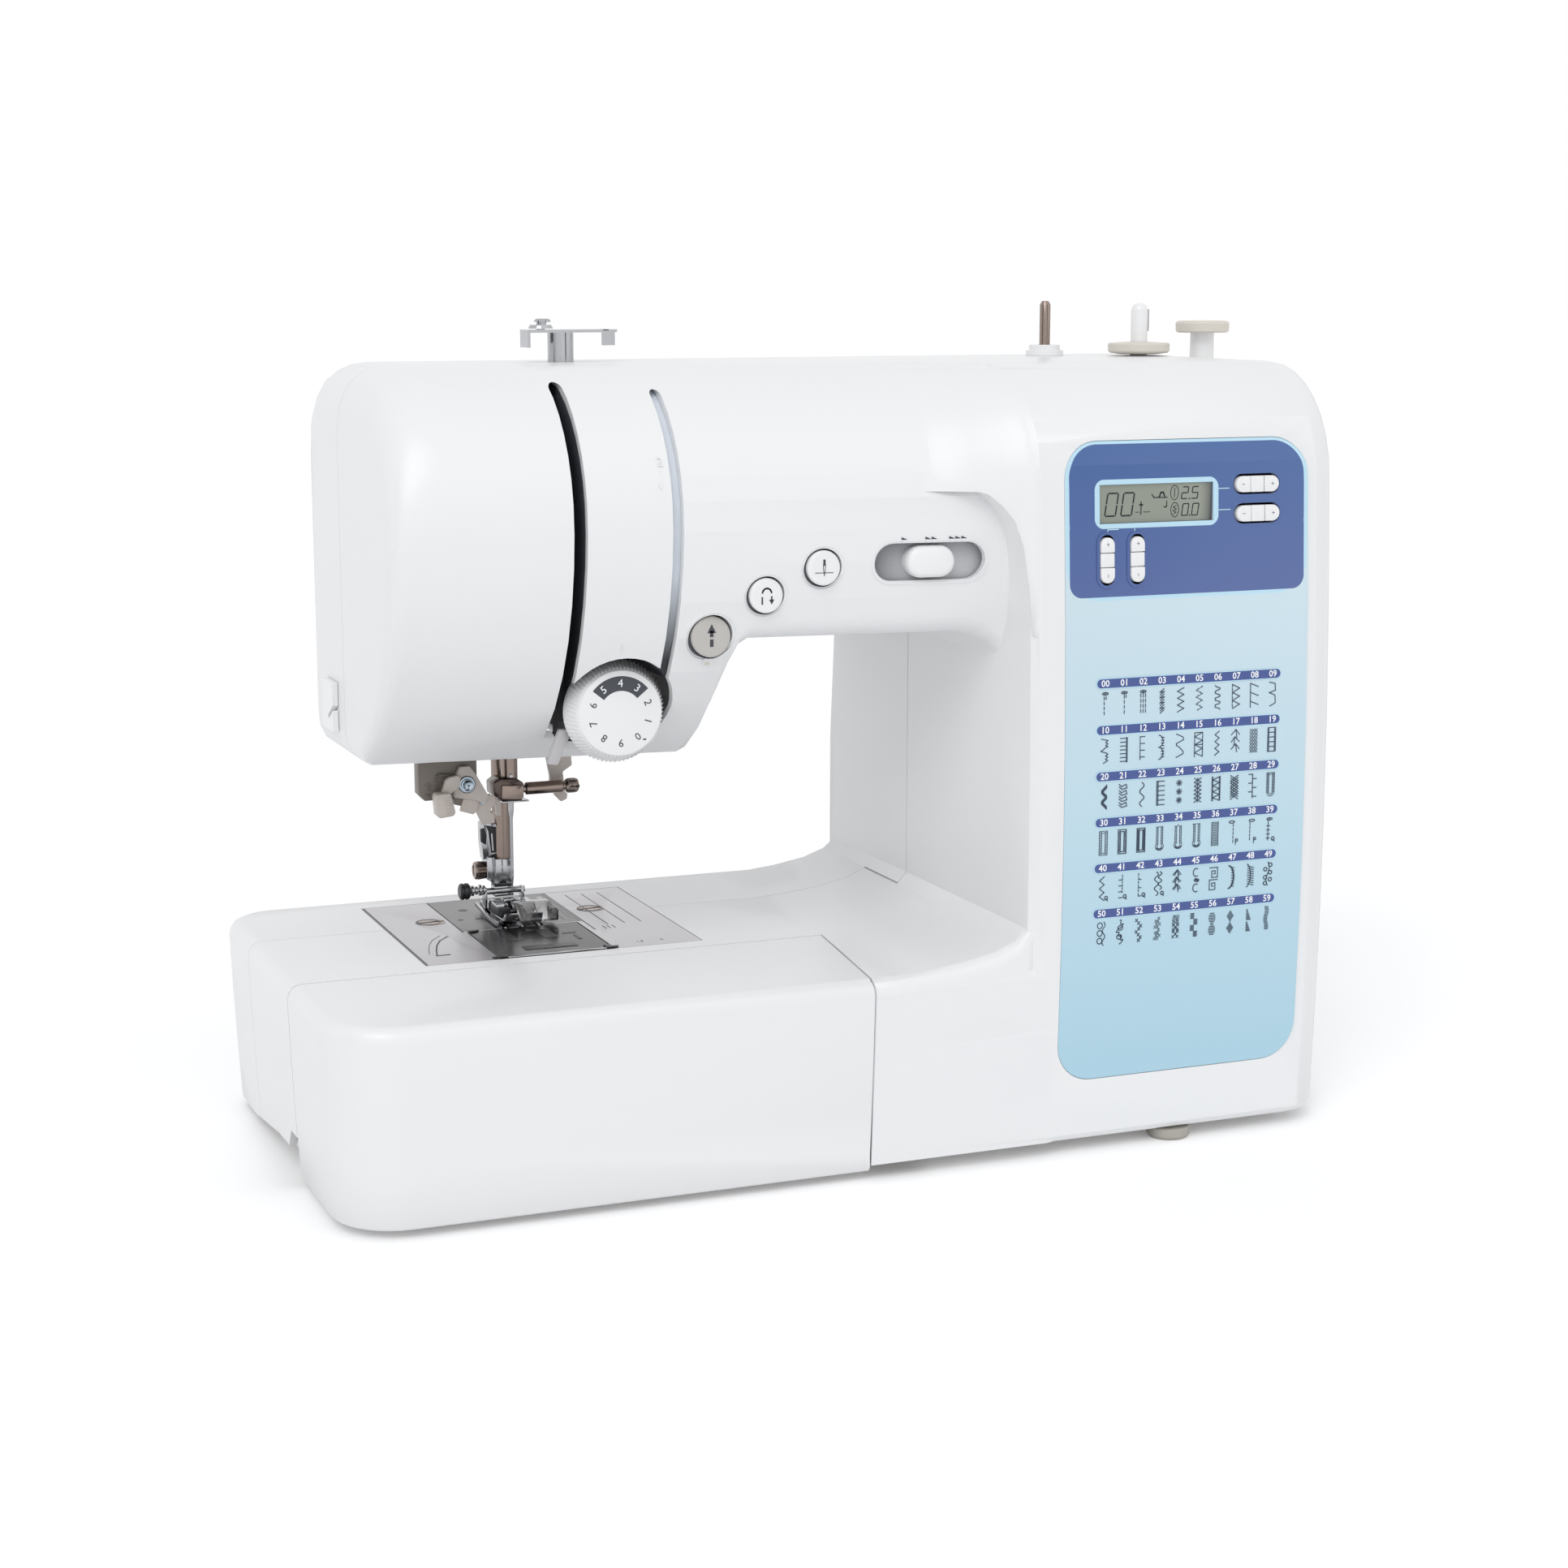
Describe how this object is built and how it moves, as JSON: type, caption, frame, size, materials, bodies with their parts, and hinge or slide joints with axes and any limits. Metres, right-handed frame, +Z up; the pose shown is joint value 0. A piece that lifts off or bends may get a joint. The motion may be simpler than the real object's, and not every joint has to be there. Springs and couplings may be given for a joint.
{
  "type": "sewing machine",
  "caption": "Compact computerised household sewing machine with free arm, drop-in bobbin, handwheel, control panel and a slide-on accessory box.",
  "frame": {"origin": "middle of the footprint, on the table under the rubber feet", "axes": "+X along the bed to the handwheel, +Y to the back, +Z up"},
  "size_m": [0.413, 0.182, 0.287],
  "materials": {
    "white_shell": "satin moulded",
    "white_trim": "satin moulded",
    "beige_plastic": "satin moulded",
    "dark_plastic": "matte moulded",
    "smoked_plastic": "smoked, glossy",
    "panel_blue": "printed sheet",
    "lcd_grey": "glass-like",
    "rubber_grey": "soft",
    "belt_rubber": "toothed",
    "polished_steel": "polished",
    "brushed_plate": "brushed",
    "cast_alloy": "as cast",
    "bush_brass": "turned",
    "motor_black": "painted",
    "board_green": "lacquered",
    "grey_button": "satin moulded",
    "lamp_lens": "frosted"
  },
  "bodies": {
    "housing": {"front_cover": "white_shell", "rear_cover": "white_shell", "base_plate": "white_trim", "rubber_feet": "rubber_grey", "needle_plate": "brushed_plate", "needle_plate_screws": "polished_steel", "thread_channel": "dark_plastic", "control_panel": "panel_blue", "lcd_display": "lcd_grey", "main_frame": "cast_alloy", "drive_motor": "motor_black", "drive_belts": "belt_rubber", "circuit_board": "board_green", "shaft_bushes": "bush_brass", "needle_bar_frame": "cast_alloy", "thread_hook": "beige_plastic", "bobbin_case": "dark_plastic", "spool_pin_base": "white_trim", "bobbin_stop": "beige_plastic", "thread_guide": "polished_steel", "handle_brackets": "white_trim", "thread_cutter": "beige_plastic", "lamp": "lamp_lens", "power_sockets": "dark_plastic"},
    "drive_shaft": {"upper_shaft": "polished_steel", "handwheel": "white_trim"},
    "motor_rotor": {"motor_pulley": "polished_steel"},
    "hook_shaft": {"lower_shaft": "polished_steel"},
    "hook": {"rotary_hook": "polished_steel"},
    "bobbin": {"bobbin": "white_trim"},
    "take_up": {"take_up_lever": "polished_steel"},
    "needle_group": {"needle_bar": "polished_steel", "needle_clamp": "polished_steel", "needle_clamp_screw": "polished_steel", "needle": "polished_steel"},
    "presser_group": {"presser_bar": "polished_steel", "foot_holder": "polished_steel", "foot_holder_screw": "polished_steel", "presser_foot": "polished_steel"},
    "presser_lever": {"presser_lever": "white_trim"},
    "threader": {"threader": "beige_plastic", "threader_lever": "beige_plastic"},
    "bobbin_cover": {"bobbin_cover": "smoked_plastic"},
    "feed_dog": {"feed_dog": "polished_steel"},
    "drop_feed_lever": {"drop_feed_lever": "dark_plastic"},
    "tension_dial": {"tension_dial": "white_trim"},
    "start_stop_button": {"start_stop_button": "grey_button"},
    "reverse_button": {"reverse_button": "white_trim"},
    "needle_position_button": {"needle_position_button": "white_trim"},
    "speed_slider": {"speed_slider": "white_trim"},
    "tens_key": {"tens_key": "white_trim"},
    "units_key": {"units_key": "white_trim"},
    "length_key": {"length_key": "white_trim"},
    "width_key": {"width_key": "white_trim"},
    "spool_pin": {"spool_pin": "polished_steel"},
    "winder_arm": {"winder_arm": "cast_alloy"},
    "winder_spindle": {"winder_spindle": "beige_plastic"},
    "carry_handle": {"carry_handle": "white_trim"},
    "accessory_box": {"accessory_box": "white_shell"},
    "power_switch": {"power_switch": "dark_plastic"}
  },
  "joints": [
    {"name": "handwheel_turn", "type": "hinge", "parent": "housing", "child": "drive_shaft", "pos_m": [0.195, 0.042, 0.2], "axis": [1, 0, 0], "continuous": true},
    {"name": "motor_turn", "type": "hinge", "parent": "housing", "child": "motor_rotor", "pos_m": [0.115, 0.008, 0.118], "axis": [1, 0, 0], "continuous": true},
    {"name": "lower_shaft_turn", "type": "hinge", "parent": "housing", "child": "hook_shaft", "pos_m": [0, 0.042, 0.026], "axis": [1, 0, 0], "continuous": true},
    {"name": "hook_turn", "type": "hinge", "parent": "housing", "child": "hook", "pos_m": [-0.111, 0.0174, 0.036], "axis": [0, 0, 1], "continuous": true},
    {"name": "bobbin_turn", "type": "hinge", "parent": "housing", "child": "bobbin", "pos_m": [-0.111, 0.0174, 0.042], "axis": [0, 0, 1], "continuous": true},
    {"name": "take_up_swing", "type": "hinge", "parent": "housing", "child": "take_up", "pos_m": [-0.1145, 0.03, 0.206], "axis": [1, 0, 0], "range_deg": [-18, 20]},
    {"name": "needle_bar_slide", "type": "slide", "parent": "housing", "child": "needle_group", "axis": [0, 0, -1], "range_m": [0, 0.028]},
    {"name": "presser_lever_lift", "type": "hinge", "parent": "housing", "child": "presser_lever", "pos_m": [-0.104, 0.059, 0.1785], "axis": [1, 0, 0], "range_deg": [0, 60]},
    {"name": "presser_bar_slide", "type": "slide", "parent": "housing", "child": "presser_group", "axis": [0, 0, 1], "range_m": [0, 0.006]},
    {"name": "threader_slide", "type": "slide", "parent": "housing", "child": "threader", "axis": [0, 0, -1], "range_m": [0, 0.012], "stiffness_N_per_m": 30, "springref_m": -0.02},
    {"name": "bobbin_cover_lift", "type": "hinge", "parent": "housing", "child": "bobbin_cover", "pos_m": [-0.1115, 0.0271, 0.069], "axis": [1, 0, 0], "range_deg": [-4, 0]},
    {"name": "feed_dog_drop", "type": "slide", "parent": "housing", "child": "feed_dog", "axis": [0, 0, -1], "range_m": [0, 0.003]},
    {"name": "drop_feed_slide", "type": "slide", "parent": "housing", "child": "drop_feed_lever", "axis": [1, 0, 0], "range_m": [0, 0.011]},
    {"name": "tension_dial_turn", "type": "hinge", "parent": "housing", "child": "tension_dial", "pos_m": [-0.0965, -0.03, 0.1545], "axis": [0, 1, 0], "range_deg": [-150, 150]},
    {"name": "start_stop_button_press", "type": "slide", "parent": "housing", "child": "start_stop_button", "axis": [0, 1, 0], "range_m": [0, 0.0015], "stiffness_N_per_m": 400, "springref_m": -0.001},
    {"name": "reverse_button_press", "type": "slide", "parent": "housing", "child": "reverse_button", "axis": [0, 1, 0], "range_m": [0, 0.0015], "stiffness_N_per_m": 400, "springref_m": -0.001},
    {"name": "needle_position_button_press", "type": "slide", "parent": "housing", "child": "needle_position_button", "axis": [0, 1, 0], "range_m": [0, 0.0015], "stiffness_N_per_m": 400, "springref_m": -0.001},
    {"name": "speed_slide", "type": "slide", "parent": "housing", "child": "speed_slider", "axis": [0.9929, -0.1191, 0], "range_m": [-0.008, 0.008]},
    {"name": "tens_key_rock", "type": "hinge", "parent": "housing", "child": "tens_key", "pos_m": [0.057, -0.086, 0.2036], "axis": [1, 0, 0], "range_deg": [-3, 3], "stiffness_Nm_per_rad": 0.3},
    {"name": "units_key_rock", "type": "hinge", "parent": "housing", "child": "units_key", "pos_m": [0.0683, -0.086, 0.2036], "axis": [1, 0, 0], "range_deg": [-3, 3], "stiffness_Nm_per_rad": 0.3},
    {"name": "length_key_rock", "type": "hinge", "parent": "housing", "child": "length_key", "pos_m": [0.1142, -0.086, 0.2272], "axis": [0, 0, 1], "range_deg": [-3, 3], "stiffness_Nm_per_rad": 0.3},
    {"name": "width_key_rock", "type": "hinge", "parent": "housing", "child": "width_key", "pos_m": [0.1144, -0.086, 0.2174], "axis": [0, 0, 1], "range_deg": [-3, 3], "stiffness_Nm_per_rad": 0.3},
    {"name": "spool_pin_pull", "type": "slide", "parent": "housing", "child": "spool_pin", "axis": [0, 0, 1], "range_m": [0, 0.04]},
    {"name": "winder_shift", "type": "slide", "parent": "housing", "child": "winder_arm", "axis": [1, 0, 0], "range_m": [0, 0.005]},
    {"name": "winder_turn", "type": "hinge", "parent": "winder_arm", "child": "winder_spindle", "pos_m": [0.1276, 0.02, 0.267], "axis": [0, 0, 1], "continuous": true},
    {"name": "carry_handle_swing", "type": "hinge", "parent": "housing", "child": "carry_handle", "pos_m": [0.046, 0.078, 0.238], "axis": [1, 0, 0], "range_deg": [0, 170]},
    {"name": "accessory_box_slide", "type": "slide", "parent": "housing", "child": "accessory_box", "axis": [-1, 0, 0], "range_m": [0, 0.18]},
    {"name": "power_switch_rock", "type": "hinge", "parent": "housing", "child": "power_switch", "pos_m": [0.175, 0.054, 0.092], "axis": [0, 1, 0], "range_deg": [-16, 0]}
  ],
  "couplings": [
    {"joint": "motor_turn", "follows": "handwheel_turn", "ratio": 3.25},
    {"joint": "lower_shaft_turn", "follows": "handwheel_turn", "ratio": 1},
    {"joint": "hook_turn", "follows": "handwheel_turn", "ratio": 2},
    {"joint": "presser_lever_lift", "follows": "presser_bar_slide", "rad_per_m": 174.53},
    {"joint": "feed_dog_drop", "follows": "drop_feed_slide", "ratio": 0.27273}
  ]
}
